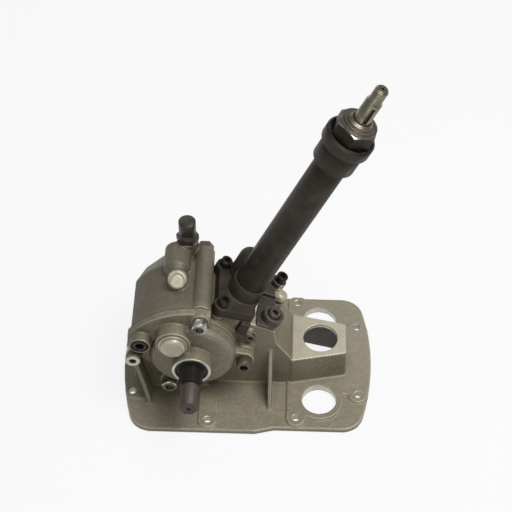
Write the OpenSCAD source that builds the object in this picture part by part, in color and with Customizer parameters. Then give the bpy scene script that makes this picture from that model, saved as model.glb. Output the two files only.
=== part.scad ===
// Steering gearbox with column, cast in one with a transmission cover plate
// Millimetres, +Z up, plate underside at Z = 0, +X towards the lever holes
// The worm turns in two bearings, a ball nut rides on it, and its rack swings the sector shaft

/* [Cover plate] */
// Overall length of the plate
plate_l = 400; // [370:1:440]
// Centre line to the front edge
plate_front = 143.5; // [138:0.5:150]
// Centre line to the back edge
plate_back = 138; // [134:0.5:146]
// Set-back of the long edges at the lever end
plate_jog = 7.5; // [4:0.5:9]
// Radius of the plate corners
corner_r = 36; // [26:1:44]
// Radius of the bowed plate ends
end_bow_r = 430; // [380:5:600]
// Plate thickness between the pads
plate_t = 9; // [7:0.5:11]
// Height of the pads above the plate
pad_h = 3; // [2:0.5:5]
// Diameter of the plate bolt holes
bolt_hole_d = 11; // [9:0.5:13]
// Radius of the boss round a plate bolt hole
bolt_boss_r = 15; // [12:0.5:17]
// Bolt hole to the left end of the plate
bolt_left_edge = 17.5; // [15:0.5:22]
// Bolt hole to the right end of the plate
bolt_right_edge = 22; // [18:0.5:28]
// Bolt hole to the front edge
bolt_long_edge = 18; // [15:0.5:22]

/* [Lever holes and tower] */
// Diameter of the three lever holes
lever_hole_d = 54; // [46:1:58]
// Centre of the lever holes along the plate
lever_x = 116; // [110:1:122]
// Distance of the side lever holes from the centre line
lever_y = 81; // [76:1:86]
// Width of the raised ring round a side lever hole
lever_ring = 11; // [8:0.5:14]
// Height of the lever tower
tower_h = 68; // [60:1:80]
// Tower width at the gearbox
tower_w0 = 98; // [92:1:110]
// Tower width at its far end
tower_w1 = 59; // [54:1:66]
// Length of the tower
tower_l = 88; // [82:1:94]
// Wall of the tower
tower_wall = 5; // [4:0.5:7]
// Thickness of the tower top
tower_top = 7; // [5:0.5:9]

/* [Steering gear] */
// Lean of the steering column from upright
lean = 23.7; // [15:0.1:30]
// Height of the worm axis at mid travel
worm_z = 94; // [90:0.5:104]
// Worm axis at mid travel, along the plate
worm_x = -43.7; // [-50:0.1:-36]
// Gear module of the rack and sector
gear_m = 3.5; // [3:0.1:3.8]
// Teeth on the full circle of the sector
sector_teeth = 12; // [12:1:13]
// Pressure angle
pressure_angle = 25; // [22:0.5:27]
// Backlash along the pitch line
backlash = 0.3; // [0.2:0.05:0.5]
// Face width of the sector teeth
gear_face = 43; // [36:1:46]
// Rise of the worm groove for one turn
worm_lead = 8; // [7:0.25:9]
// Diameter of the balls in the nut
ball_d = 5.5; // [4.5:0.1:5.8]
// Radius of the ball circle round the worm
ball_circle_r = 12; // [11.5:0.1:12.6]
// Length of the ball nut
nut_l = 66; // [60:1:70]

/* [Sector shaft] */
// Diameter of the front journal
journal_d = 38; // [34:0.5:40]
// Diameter of the rear journal
rear_journal_d = 36; // [32:0.5:38]
// Tip diameter of the serrations for the drop arm
spline_d = 36.6; // [32:0.2:37.4]
// Number of serrations
spline_n = 36; // [30:1:40]
// Length of the serrations
spline_l = 30; // [18:0.2:34]
// Diameter of the threaded end
end_d = 28; // [22:0.5:30]
// Length of the threaded end
end_l = 41.6; // [36:0.2:60]

/* [Gear housing] */
// Radius of the drum round the sector
drum_r = 112; // [106:1:118]
// Height of the drum at its back face
drum_back_h = 172; // [164:1:176]
// Drum centre below the sector shaft
drum_drop = 21.5; // [14:0.5:26]
// Front face of the housing from the centre line
face_y = 58.5; // [56:0.5:64]
// Back face of the housing from the centre line
drum_back = 98; // [96:1:108]
// Wall of the casting
wall = 8; // [6:0.5:10]
// Half width of the block under the column
seat_half = 46; // [43:0.5:50]
// Height of the column seat along the worm axis
seat_s = 75.5; // [73:0.5:84]

/* [Sector cover] */
// Radius of the raised dome
dome_r = 66; // [60:0.5:70]
// Thickness of the cover flange
cover_t = 12; // [9:0.5:15]
// Height of the dome
dome_h = 12; // [8:0.5:16]
// Radius of the shaft boss
boss_r = 30.4; // [28.5:0.2:33]
// Length of the shaft boss
boss_h = 24; // [18:0.5:30]
// Gasket thickness
gasket_t = 1.5; // [1:0.1:2.5]
// Thread diameter of the cover screws
cover_screw_d = 16; // [12:0.5:16]

/* [Column] */
// Outside diameter of the column tube
tube_d = 49.6; // [46:0.2:52]
// Wall of the column tube
tube_wall = 4; // [3:0.25:5]
// Thickness of the column flange
flange_t = 18; // [14:0.5:22]
// Flange bolt row towards the drum
flange_left = 35; // [33:0.5:37]
// Flange bolt row towards the tower
flange_right = 50; // [46:0.5:53]
// Half distance of the flange bolts across
flange_half = 40; // [37:0.5:42]
// Thread diameter of the flange bolts
flange_bolt_d = 12; // [9:0.5:13]
// Tube end along the worm axis
tube_top = 446; // [400:1:500]
// Diameter of the lower collar
collar_d = 64.4; // [60:0.2:70]
// Diameter of the bearing cup
cup_d = 74.5; // [70:0.5:80]
// Diameter of the steering shaft
shaft_d = 20; // [17:0.5:22]
// Diameter of the wheel seat on the shaft
wheel_seat_d = 24.7; // [23:0.1:24.9]
// Diameter of the wheel nut thread
wheel_thread_d = 20; // [16:0.5:21]

/* [Hidden] */
$fn = 96;
eps = 0.02;
far = 400;
// Fits
run_gap = 0.05;
seat_gap = 0.02;
bolt_gap = 0.15;
clear = 0.5;
// Plate
pad_z = plate_t + pad_h;
left_x = -plate_l / 2;
right_x = plate_l / 2;
jog_x0 = 16;
jog_x1 = 44;
bolt_spots = [
  [left_x + bolt_left_edge, 73],
  [-59.5, plate_front - bolt_long_edge],
  [79.5, plate_front - plate_jog - bolt_long_edge],
  [right_x - bolt_right_edge, 69]];
tower_x = 70;
pad_x = tower_x - 5.5;
tower_end = tower_x + tower_l;
// Gear
pitch_r = gear_m * sector_teeth / 2;
base_r = pitch_r * cos(pressure_angle);
tip_r = pitch_r + gear_m;
root_r = pitch_r - 1.25 * gear_m;
rack_p = PI * gear_m;
groove_r = ball_d / 2 + 0.3;
worm_od_r = ball_circle_r - 0.4;
nut_bore_r = ball_circle_r + 0.2;
nut_wall = 3;
rack_root = ball_circle_r + groove_r + nut_wall;
rack_pitch = rack_root + 1.25 * gear_m;
centre_dist = rack_pitch + pitch_r;
sector_x = worm_x - centre_dist * cos(lean);
sector_z = worm_z + centre_dist * sin(lean);
nut_half_y = 23;
nut_back = ball_circle_r + groove_r + 6;
tube_loop = worm_lead;
return_r = ball_d / 2 + 0.9;
return_top = nut_back + tube_loop + return_r;
strap_t = 1.5;
// Sector group planes along Y
gasket_y = -face_y;
cover_y = gasket_y - gasket_t;
dome_y = cover_y - cover_t;
boss_y = dome_y - dome_h;
ring_y = boss_y - boss_h;
journal_r = journal_d / 2;
rear_r = rear_journal_d / 2;
bush_t = 3;
seal_w = 8.5;
seal_r = journal_r + 6.5;
bush_front = ring_y + seal_w + 2;
bush_back = cover_y - 2;
rear_bush0 = 27;
rear_bush1 = 62;
rear_cap0 = rear_bush1 + 4;
rear_cap1 = rear_cap0 + 10;
carrier_r = rear_r + bush_t + 9;
// Screws of the cover in the plane of the sector shaft, from its axis
screw_r = cover_screw_d / 2;
head_r = 1.5 * screw_r;
head_h = cover_screw_d;
cover_spots = [[13.5, 81], [79.8, -14], [-37.6, -68], [-79.5, 33.5]];
lug_r = head_r + 3.5;
screw_l = 30;
plug_spot = [-27.8, 46.4];
plug_boss_r = 27;
plug_r = 18.5;
plug_y = dome_y - 22;
// Drum
drum_x = sector_x + 0.5;
drum_z = sector_z - drum_drop;
drum_step = 40;
drum_left = left_x + 21;
drum_right = sector_x + cover_spots[0][0] + 8;
face_wall = 12;
opening_r = dome_r - 10;
through_x = sector_x + cover_spots[0][0];
through_z = sector_z + cover_spots[0][1];
through_back = 67;
through_r = screw_r + 8;
oil_x = drum_x - 28;
oil_z = drum_z + drum_r - 2;
oil_r = 21;
oil_back = through_back - 4;
filler_r = 17.5;
filler_x = oil_x + 3;
filler_l = 38;
web_end_x = 5;
web_end_z = 128;
oil_front = 12;
breather_r = 13.4;
breather_x = oil_x + 14.6;
breather_y = through_back + 1;
breather_z = oil_z + oil_r + 0.5;
ear_x = drum_left + 4;
ear_z = sector_z;
ear_y = -92;
ear_r = 12;
ear_hole_r = 5.1;
ear_depth = 28;
// Column, all along the worm axis from mid travel
gear_half = nut_l / 2 + 15;
brg_low0 = -(gear_half + 12);
brg_low1 = brg_low0 + 12;
brg_up0 = gear_half + 2;
brg_up1 = brg_up0 + 14;
flange_s0 = seat_s + 1;
flange_s1 = flange_s0 + flange_t;
tube_r = tube_d / 2;
tube_s0 = flange_s0 + 8;
neck_s = flange_s1 + 22;
neck_r = tube_r + 2.5;
collar_s0 = tube_top - 38.5;
collar_s1 = tube_top - 2.5;
cup_s1 = tube_top + 20;
cup_brg1 = tube_top + 12;
circlip_s1 = cup_brg1 + 2;
cap_s0 = circlip_s1;
cap_s1 = cap_s0 + 38;
seat_s1 = cap_s1 + 40;
thread_s1 = cap_s1 + 62;
key_w = 6;
key_s0 = cap_s1 + 1.5;
key_s1 = cap_s1 + 32;
brg_wheel_r = 12.5;
cap_r = cup_d / 2 - 5;
low_in = 8.5;
low_out = 20;
up_in = 10;
up_out = 23.5;
cup_out = 26;
socket_s0 = brg_up1 + 2;
socket_s1 = socket_s0 + 40;
socket_r = 13;
spigot_r = 8;
pin_s = socket_s1 - 12;
pin_r = 2.5;
fb_r = flange_bolt_d / 2;
fb_head_r = 1.5 * fb_r;
fb_ear_r = fb_head_r + 3.5;
left_spots = [for (y = [-flange_half, flange_half]) [-flange_left, y]];
right_spots = [[flange_right + 2, 12 - flange_half], [flange_right + 8, flange_half]];
front_pad_r = fb_ear_r + 4;
knob_spot = [flange_right + 16, 20];
knob_r = 10;
web_x0 = tube_r - 3.5;
web_t = 7;
web_gap = 1;
web_back = 12;
// Colours
c_cast = [0.60, 0.57, 0.50];
c_black = [0.10, 0.09, 0.08];
c_steel = [0.62, 0.61, 0.58];
c_dark = [0.25, 0.21, 0.17];
c_brass = [0.72, 0.55, 0.28];
c_rubber = [0.05, 0.05, 0.05];
c_paper = [0.30, 0.28, 0.24];

function unit(v) = v / norm(v);
function arc(c, r, a0, a1, n) = [for (i = [0 : n]) c + r * [cos(a0 + (a1 - a0) * i / n),
  sin(a0 + (a1 - a0) * i / n)]];
function short_turn(a) = a > 180 ? a - 360 : (a < -180 ? a + 360 : a);
function corner(p0, p1, p2, r, n) =
  let (a = unit(p0 - p1), b = unit(p2 - p1), h = acos(a * b) / 2,
    c = p1 + unit(a + b) * r / sin(h), s = p1 + a * r / tan(h) - c, e = p1 + b * r / tan(h) - c,
    a0 = atan2(s[1], s[0]), d = short_turn(atan2(e[1], e[0]) - a0))
  arc(c, r, a0, a0 + d, n);
function rounded(p, r, n = 4) = [for (i = [0 : len(p) - 1])
  each corner(p[(i + len(p) - 1) % len(p)], p[i], p[(i + 1) % len(p)], r, n)];

// Frames
module on_column(s) {
  translate([worm_x, 0, worm_z]) rotate([0, lean, 0]) translate([0, 0, s]) children();
}
module on_sector(y) {
  translate([sector_x, y, sector_z]) rotate([90, 0, 0]) children();
}
module along_y(y0, y1) {
  translate([0, y1, 0]) rotate([90, 0, 0]) linear_extrude(y1 - y0) children();
}
module ring(r_in, r_out, h) {
  difference() {
    cylinder(r = r_out, h = h);
    translate([0, 0, -1]) cylinder(r = r_in, h = h + 2);
  }
}
module above(z) {
  translate([-far, -far, z]) cube([2 * far, 2 * far, 3 * far]);
}

// Plate outline with bowed ends and a set-back at the lever end
function end_corner(cx, side, y) = [cx + side * sqrt(pow(end_bow_r - corner_r, 2)
  - pow(abs(y) - corner_r, 2)), sign(y) * (abs(y) - corner_r)];
module plate_outline() {
  cr = right_x - end_bow_r;
  cl = left_x + end_bow_r;
  fr = end_corner(cr, 1, -(plate_front - plate_jog));
  br = end_corner(cr, 1, plate_back - plate_jog);
  bl = end_corner(cl, -1, plate_back);
  fl = end_corner(cl, -1, -plate_front);
  a_fr = atan2(fr[1], fr[0] - cr);
  a_br = atan2(br[1], br[0] - cr);
  a_bl = atan2(bl[1], bl[0] - cl);
  a_fl = atan2(fl[1], fl[0] - cl) + 360;
  polygon(concat(
    [[jog_x0, -plate_front], [jog_x1, -plate_front + plate_jog]],
    arc(fr, corner_r, -90, a_fr, 6),
    arc([cr, 0], end_bow_r, a_fr, a_br, 10),
    arc(br, corner_r, a_br, 90, 6),
    [[jog_x1, plate_back - plate_jog], [jog_x0, plate_back]],
    arc(bl, corner_r, 90, a_bl, 6),
    arc([cl, 0], end_bow_r, a_bl, a_fl, 10),
    arc(fl, corner_r, a_fl, 270, 6)));
}
module pad_outline() {
  for (side = [-1, 1]) scale([1, side]) {
    translate(bolt_spots[1]) circle(bolt_boss_r);
    translate([bolt_spots[1][0] - bolt_boss_r, 0]) square([2 * bolt_boss_r, bolt_spots[1][1]]);
    translate(bolt_spots[2]) circle(bolt_boss_r);
    translate([pad_x, 0]) square([2 * bolt_boss_r, bolt_spots[2][1]]);
    translate([lever_x, lever_y]) circle(lever_hole_d / 2 + lever_ring);
    translate([pad_x, 0]) square([lever_x - pad_x, lever_y + lever_hole_d / 2]);
    translate(bolt_spots[3]) circle(bolt_boss_r);
    translate([lever_x, 0]) square([far, bolt_spots[3][1]]);
    translate([-far, 0]) square([far - 157, bolt_spots[0][1] + bolt_boss_r]);
  }
}
module plate() {
  linear_extrude(plate_t) plate_outline();
  linear_extrude(pad_z) intersection() {
    plate_outline();
    pad_outline();
  }
}

// Tower for the middle lever
function tower_points(e) = [[tower_x - 4 + e, -tower_w0 / 2 + e], [tower_end - e, -tower_w1 / 2 + e],
  [tower_end - e, tower_w1 / 2 - e], [tower_x - 4 + e, tower_w0 / 2 - e]];
module tower() {
  linear_extrude(tower_h) polygon(rounded(tower_points(0), 6));
}
module tower_hollow() {
  translate([0, 0, -1]) linear_extrude(tower_h - tower_top + 1)
    polygon(rounded(tower_points(tower_wall), 4));
  translate([0, 0, -1]) linear_extrude(plate_t - 3) polygon(rounded(tower_points(-6), 4));
  translate([lever_x, 0, 0]) cylinder(d = lever_hole_d, h = tower_h + 1);
}

// Drum round the sector, round in front and drawn in at the back
module drum_front(e) {
  intersection() {
    translate([drum_x, drum_z]) circle(drum_r - e);
    translate([drum_left + e, e]) square([drum_right - drum_left - e, far]);
  }
}
function drum_back_points(e) = [[drum_right, e], [drum_right, drum_back_h - e],
  [drum_x - 20 + e / 2, drum_back_h - e], [drum_x - 50 + e, drum_back_h - 20 - e],
  [drum_left + 20 + e, drum_back_h - 48 - e / 2],
  [drum_left + 11 + e, drum_back_h - 56], [drum_left + 11 + e, e]];
module drum_loft(e, y0, y1) {
  hull() {
    along_y(y0, drum_step) drum_front(e, $fn = 72);
    along_y(y1 - 1, y1) polygon(drum_back_points(e));
  }
}
module drum() {
  drum_loft(0, gasket_y, drum_back);
  intersection() {
    on_sector(-face_y + 30) cylinder(r = dome_r, h = 30);
    above(0);
  }
}
module drum_hollow() {
  intersection() {
    drum_loft(wall, gasket_y + face_wall, drum_back - wall);
    above(pad_z);
  }
}

// Block that carries the column seat and slopes down to the tower
function seat_point(x) = [worm_x + seat_s * sin(lean) + x * cos(lean),
  worm_z + seat_s * cos(lean) - x * sin(lean)];
module seat_block() {
  seat_l = seat_point(-flange_left - 14);
  seat_r = seat_point(flange_right + fb_ear_r - 1);
  along_y(-seat_half, seat_half) polygon([[drum_right - 1, 0], [tower_x, 0], [tower_x, tower_h + 4],
    [seat_r[0] + 3, seat_r[1] - 30], seat_r, seat_l, [drum_right - 1, seat_l[1] - 2]]);
  for (p = concat(left_spots, right_spots)) on_column(seat_s - 34) translate(p)
    cylinder(r = fb_ear_r, h = 34);
  on_column(seat_s - 34) translate(right_spots[0]) cylinder(r = front_pad_r, h = 34);
  on_column(seat_s - 34) translate(knob_spot) cylinder(r = knob_r, h = 34);
}
module gear_hollow() {
  on_column(-gear_half) translate([-tip_r - rack_pitch, -28, 0])
    cube([tip_r + rack_pitch + return_top + 6, 56, 2 * gear_half]);
}
// Thin web that stands beside the column flange
module seat_web(e = 0) {
  on_column(0) translate([web_x0 + web_t + e, 0, 0]) rotate([0, -90, 0]) linear_extrude(web_t + 2 * e)
    polygon([[brg_up0, -seat_half + 2], [brg_up0, web_back + e], [flange_s1 + 2 + e, web_back + e],
      [seat_s - 11 + e, -seat_half - 4], [brg_up0, -seat_half - 4]]);
}

// Filler boss leans forward from the oil boss
module on_filler(h) {
  translate([filler_x, oil_front + 6, oil_z - 14]) rotate([45, 0, 0]) translate([0, 0, h]) children();
}

// Outer bosses and ribs of the casting
module outer_bosses() {
  translate([through_x, through_back, through_z]) rotate([90, 0, 0])
    cylinder(r = through_r, h = through_back + face_y);
  translate([oil_x, oil_back, oil_z]) rotate([90, 0, 0]) cylinder(r = oil_r, h = oil_back - oil_front - 8);
  translate([oil_x, oil_front + 8 + eps, oil_z]) rotate([90, 0, 0])
    cylinder(r1 = oil_r, r2 = oil_r * 0.5, h = 16);
  on_filler(0) cylinder(r = filler_r - 1.5, h = filler_l);
  translate([breather_x, breather_y, through_z]) cylinder(r = 1.25 * breather_r, h = breather_z - through_z);
  translate([ear_x, -face_y + 14, ear_z]) rotate([90, 0, 0]) cylinder(r = ear_r, h = -ear_y - face_y + 14);
  intersection() {
    translate([ear_x, 0, ear_z]) rotate([0, -12, 0]) translate([-3, 0, -ear_z * 1.2]) rotate([90, 0, 90])
      linear_extrude(6) polygon([[-face_y + 12, 0], [ear_y - 8, 0], [ear_y + 2, ear_z * 0.55],
        [ear_y + 8, ear_z * 1.2], [-face_y + 12, ear_z * 1.2]]);
    above(plate_t / 2);
  }
  translate([web_end_x, -seat_half + 8, web_end_z]) rotate([90, 0, 0]) cylinder(r = 8, h = 16);
  translate([34, 0, 0]) rotate([90, 0, 90]) linear_extrude(6)
    polygon([[-seat_half + 2, plate_t - 1], [-102, plate_t - 1], [-seat_half, worm_z],
      [-seat_half + 2, worm_z]]);
  on_sector(-seat_half + 10) translate(cover_spots[1]) cylinder(r = lug_r, h = face_y - seat_half + 10);
}

// Inner bosses that carry bearings, bushes and screws
module inner_bosses() {
  intersection() {
    union() {
      on_column(brg_low0 - 40) cylinder(r = low_out + 7, h = brg_low1 + 0.3 - brg_low0 + 40);
      on_sector(drum_back - 1) cylinder(r = carrier_r, h = drum_back - 1 - rear_bush0 + 1);
      for (i = [0, 2, 3]) on_sector(-face_y + screw_l + 6) translate(cover_spots[i])
        cylinder(r = screw_r + 6, h = screw_l + 6);
    }
    above(0);
  }
}

// Every hole of the casting
module housing_holes() {
  for (p = bolt_spots) for (side = [-1, 1]) translate([p[0], side * p[1], -1])
    cylinder(d = bolt_hole_d, h = pad_z + 2);
  for (side = [-1, 1]) translate([lever_x, side * lever_y, -1]) cylinder(d = lever_hole_d, h = pad_z + 2);
  tower_hollow();
  on_sector(gasket_y + face_wall + 21) cylinder(r = opening_r, h = face_wall + 22);
  on_sector(rear_cap1) cylinder(r = rear_r + bush_t + seat_gap, h = rear_cap1 - rear_bush0 + 2);
  on_sector(drum_back + 1) cylinder(r = carrier_r - 4, h = drum_back + 1 - rear_cap1);
  on_column(brg_low0) cylinder(r = low_out + seat_gap, h = brg_low1 - brg_low0 + 2);
  on_column(brg_low0 - 8) cylinder(r = low_in + 4, h = 9);
  on_column(brg_up0) cylinder(r = up_out + seat_gap, h = seat_s - brg_up0 + 1);
  on_column(gear_half - 1) cylinder(r = up_out - 5, h = 4);
  for (i = [1 : len(cover_spots) - 1]) on_sector(-face_y + screw_l) translate(cover_spots[i])
    cylinder(r = screw_r + bolt_gap, h = screw_l + 1);
  on_sector(through_back + 1) translate(cover_spots[0])
    cylinder(r = screw_r + bolt_gap, h = through_back + face_y + 2);
  for (p = concat(left_spots, right_spots)) on_column(seat_s - 26) translate(p)
    cylinder(r = fb_r + bolt_gap, h = 27);
  translate([ear_x, ear_y + ear_depth, ear_z]) rotate([90, 0, 0]) cylinder(r = ear_hole_r, h = ear_depth + 1);
  on_filler(filler_l - 14) cylinder(r = 9 + seat_gap, h = 15);
  on_sector(far) translate(cover_spots[0]) cylinder(r = head_r * 1.15 + 1.5, h = far - through_back);
  translate([web_end_x, -seat_half + 6, web_end_z]) rotate([90, 0, 0]) cylinder(r = 3.3, h = 20);
  apron(1);
  on_column(seat_s + 0.4) cylinder(r = neck_r + web_gap, h = far);
  translate([breather_x, breather_y, breather_z - 14]) cylinder(r = 8 + seat_gap, h = 15);
}

module housing() {
  color(c_cast) difference() {
    union() {
      difference() {
        union() {
          plate();
          tower();
          drum();
          seat_block();
          outer_bosses();
        }
        drum_hollow();
        gear_hollow();
      }
      inner_bosses();
      seat_web();
    }
    housing_holes();
  }
}

// Cover flange in the plane of the sector shaft, from its axis
module cover_outline() {
  difference() {
    cover_full();
    translate([ear_x - sector_x, ear_z - sector_z]) circle(ear_r + 1.5);
  }
}
module cover_full() {
  top = [0.5, -drum_drop];
  circle(dome_r);
  intersection() {
    translate(top) circle(drum_r + 4);
    polygon([[drum_left - sector_x - 4, 8], [drum_left - sector_x - 4, far],
      [cover_spots[0][0] + lug_r, far], [cover_spots[0][0] + lug_r, 0], [0, 0], [-70, -26]]);
  }
  for (i = [1, 2]) {
    translate(cover_spots[i]) circle(lug_r);
    rotate(atan2(cover_spots[i][1], cover_spots[i][0])) translate([0, -lug_r])
      square([norm(cover_spots[i]), 2 * lug_r]);
  }
}
module screw_holes(y, h) {
  for (p = cover_spots) on_sector(y) translate(p) cylinder(r = screw_r + bolt_gap, h = h);
}
module sector_cover() {
  color(c_cast) difference() {
    union() {
      on_sector(cover_y) linear_extrude(cover_t) cover_outline();
      on_sector(cover_y) {
        cylinder(r = dome_r, h = cover_t + dome_h - 7);
        translate([0, 0, cover_t + dome_h - 7 - eps]) cylinder(r1 = dome_r, r2 = dome_r - 2.4, h = 4.2);
        translate([0, 0, cover_t + dome_h - 2.8 - 2 * eps]) cylinder(r1 = dome_r - 2.4, r2 = dome_r - 7, h = 2.8);
      }
      on_sector(cover_y) translate(plug_spot) cylinder(r = plug_boss_r, h = cover_y - plug_y);
      on_sector(cover_y) cylinder(r = boss_r, h = cover_y - ring_y);
      on_sector(cover_y) translate(cover_spots[0]) cylinder(r = lug_r - 1, h = cover_t + 4);
      on_sector(cover_y) translate(cover_spots[3]) cylinder(r = lug_r + 0.5, h = cover_t + head_h);
    }
    difference() {
      on_sector(cover_y + 1) cylinder(r = opening_r, h = 1 + dome_h + 2);
      on_sector(cover_y + 2) cylinder(r = journal_r + bush_t + 6, h = far);
    }
    on_sector(cover_y + 1) cylinder(r = journal_r + bush_t + seat_gap, h = cover_y + 1 - bush_front);
    on_sector(cover_y + 1) cylinder(r = journal_r + clear, h = far);
    on_sector(ring_y + seal_w) cylinder(r = seal_r + seat_gap, h = seal_w + 1);
    screw_holes(cover_y + 1, cover_t + 30);
    for (i = [1, 2, 3]) on_sector(dome_y) translate(cover_spots[i]) cylinder(r = head_r + 1.5, h = far);
    on_sector(plug_y + 12) translate(plug_spot) cylinder(r = plug_r - 4 + seat_gap, h = 13);
    translate([ear_x, 0, ear_z]) rotate([90, 0, 0]) cylinder(r = ear_r + 1.5, h = far);
  }
}
module cover_gasket() {
  color(c_paper) difference() {
    on_sector(gasket_y) linear_extrude(gasket_t) cover_outline();
    on_sector(gasket_y + 1) cylinder(r = opening_r, h = gasket_t + 2);
    screw_holes(gasket_y + 1, gasket_t + 2);
  }
}
module socket_screw(r, h_head, l, socket) {
  difference() {
    union() {
      translate([0, 0, -l]) cylinder(r = r, h = l + eps);
      cylinder(r = 1.5 * r, h = h_head - 1);
      translate([0, 0, h_head - 1 - eps]) cylinder(r1 = 1.5 * r, r2 = 1.5 * r - 1, h = 1 + eps);
    }
    translate([0, 0, h_head * 0.45]) cylinder(r = socket, h = h_head, $fn = 6);
  }
}
module cover_screws() {
  color(c_steel) {
    for (i = [1 : len(cover_spots) - 1]) on_sector(dome_y) translate(cover_spots[i])
      socket_screw(screw_r, head_h, cover_t + gasket_t + screw_l - 4, screw_r * 0.9);
    on_sector(dome_y - 4) translate(cover_spots[0])
      socket_screw(screw_r, head_h, -dome_y + 4 + through_back + head_h * 0.8 + 2, screw_r * 0.9);
  }
}
module through_nut() {
  color(c_steel) on_sector(through_back + head_h * 0.8) translate(cover_spots[0]) difference() {
    cylinder(r = head_r * 1.15, h = head_h * 0.8, $fn = 6);
    translate([0, 0, -1]) cylinder(r = screw_r + bolt_gap, h = head_h + 2);
  }
}
module cover_plug() {
  color(c_cast) on_sector(plug_y) translate(plug_spot) {
    translate([0, 0, -10]) cylinder(r = plug_r - 4, h = 11);
    cylinder(r = plug_r + 4, h = 3);
    cylinder(r = plug_r, h = 8);
    translate([0, 0, 8 - eps]) cylinder(r1 = plug_r, r2 = plug_r - 2, h = 2);
  }
}
module front_bush() {
  color(c_brass) on_sector(bush_back) ring(journal_r + run_gap, journal_r + bush_t, bush_back - bush_front);
}
module rear_bush() {
  color(c_brass) on_sector(rear_bush1) ring(rear_r + run_gap, rear_r + bush_t, rear_bush1 - rear_bush0);
}
module sector_seal() {
  color(c_rubber) on_sector(ring_y + seal_w) difference() {
    cylinder(r = seal_r, h = seal_w - 0.8);
    translate([0, 0, -1]) cylinder(r = journal_r + 2 * run_gap, h = seal_w + 2);
    translate([0, 0, seal_w - 3.4]) ring(journal_r + 1.6, seal_r - 1.6, seal_w);
  }
}
module rear_cap() {
  color(c_steel) on_sector(rear_cap1) difference() {
    cylinder(r = rear_r + bush_t, h = rear_cap1 - rear_cap0);
    translate([0, 0, -1]) cylinder(r = 6 + bolt_gap, h = 20);
    for (side = [-1, 1]) translate([side * (rear_r - 3), 0, -1]) cylinder(r = 2.5, h = 6);
  }
}
module adjuster_screw() {
  color(c_steel) on_sector(rear_cap1 + 16) difference() {
    cylinder(r = 6, h = 16 + rear_cap1 - rear_bush1 - 0.4);
    translate([-far, -0.8, -1]) cube([2 * far, 1.6, 3]);
  }
}
module adjuster_nut() {
  color(c_steel) on_sector(rear_cap1 + 8) difference() {
    cylinder(r = 10.5, h = 8, $fn = 6);
    translate([0, 0, -1]) cylinder(r = 6 + bolt_gap, h = 10);
  }
}
module filler_plug() {
  color(c_cast) on_filler(filler_l) {
    translate([0, 0, -12]) cylinder(r = 9, h = 12 + eps);
    cylinder(r = filler_r - 3.5, h = 5);
    translate([0, 0, 5 - eps]) cylinder(r1 = filler_r - 3.5, r2 = filler_r - 6, h = 2);
  }
}
module breather() {
  r = breather_r;
  color(c_dark) translate([breather_x, breather_y, breather_z]) {
    translate([0, 0, -12]) cylinder(r = 8, h = 12 + eps);
    cylinder(r = 1.33 * r, h = 0.7 * r, $fn = 6);
    translate([0, 0, 0.7 * r - eps]) cylinder(r1 = 1.15 * r, r2 = 0.93 * r, h = 0.5 * r);
    translate([0, 0, 1.2 * r - 2 * eps]) cylinder(r = r, h = 1.75 * r);
    translate([0, 0, 2.95 * r - 3 * eps]) cylinder(r1 = r, r2 = 0.84 * r, h = 0.15 * r);
  }
}

// Column foot on the left of the web, a retaining bar on its right
bar_x0 = web_x0 + web_t + web_gap;
tongue_y = web_back + 6;
tongue_h = 7;
module flange_outline() {
  circle(neck_r + 8);
  for (p = left_spots) translate(p) circle(fb_ear_r);
  polygon([[-flange_left - 7, -flange_half + 6], [-flange_left, -flange_half - fb_ear_r + 1],
    [web_x0 - web_gap, -flange_half - 4], [web_x0 - web_gap, flange_half + fb_ear_r - 1],
    [-flange_left, flange_half + fb_ear_r - 1], [-flange_left - 7, flange_half - 6]]);
}
module flange_limit() {
  translate([-far, -far]) square([far + web_x0 - web_gap, 2 * far]);
}
module bar_outline() {
  for (p = right_spots) translate(p) circle(fb_ear_r);
  translate([bar_x0, -flange_half - 6]) square([flange_right + fb_ear_r - 3 - bar_x0, 2 * flange_half + 12]);
}
module tongue(e) {
  on_column(flange_s0 - e) translate([0, tongue_y - e, 0])
    cube([flange_right - fb_r - 6 + e, flange_half - fb_r - tongue_y + 2 * e, tongue_h + 2 * e]);
}
module apron(e) {
  on_column(brg_up0 + 2 - e) translate([5 - e, -seat_half - 6, 0])
    cube([web_x0 - web_gap - 5 + e, seat_half - up_out - 1.5 + e, seat_s - brg_up0 - 1 + e]);
}
lug_x = -10;
lug_y = 30;
lug_r2 = 17.5;
lug_top = flange_s1 + 42;
module column_flange() {
  color(c_black) difference() {
    union() {
      difference() {
        on_column(flange_s0) linear_extrude(flange_t) intersection() {
          flange_outline();
          flange_limit();
        }
        seat_web(web_gap);
      }
      tongue(0);
      apron(0);
      on_column(flange_s0) cylinder(r = neck_r, h = neck_s - flange_s0);
      on_column(neck_s - eps) cylinder(r1 = neck_r, r2 = tube_r + 1.5, h = 6);
      on_column(flange_s1 - 4) translate([lug_x, lug_y, 0]) cylinder(r = lug_r2, h = lug_top - flange_s1 + 4);
      on_column(lug_top) translate([lug_x, lug_y, 0]) sphere(r = lug_r2);
    }
    on_column(tube_s0) cylinder(r = tube_r + seat_gap, h = far);
    on_column(flange_s0 - 1) cylinder(r = tube_r - tube_wall, h = far);
    for (p = left_spots) on_column(flange_s0 - 1) translate(p)
      cylinder(r = fb_r + bolt_gap, h = flange_t + 2);
    for (p = left_spots) on_column(flange_s1) translate(p) cylinder(r = fb_head_r + 1.5, h = 14);
  }
}
bar_rise = 4;
bar_t = 5;
sunk = 8;
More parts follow.
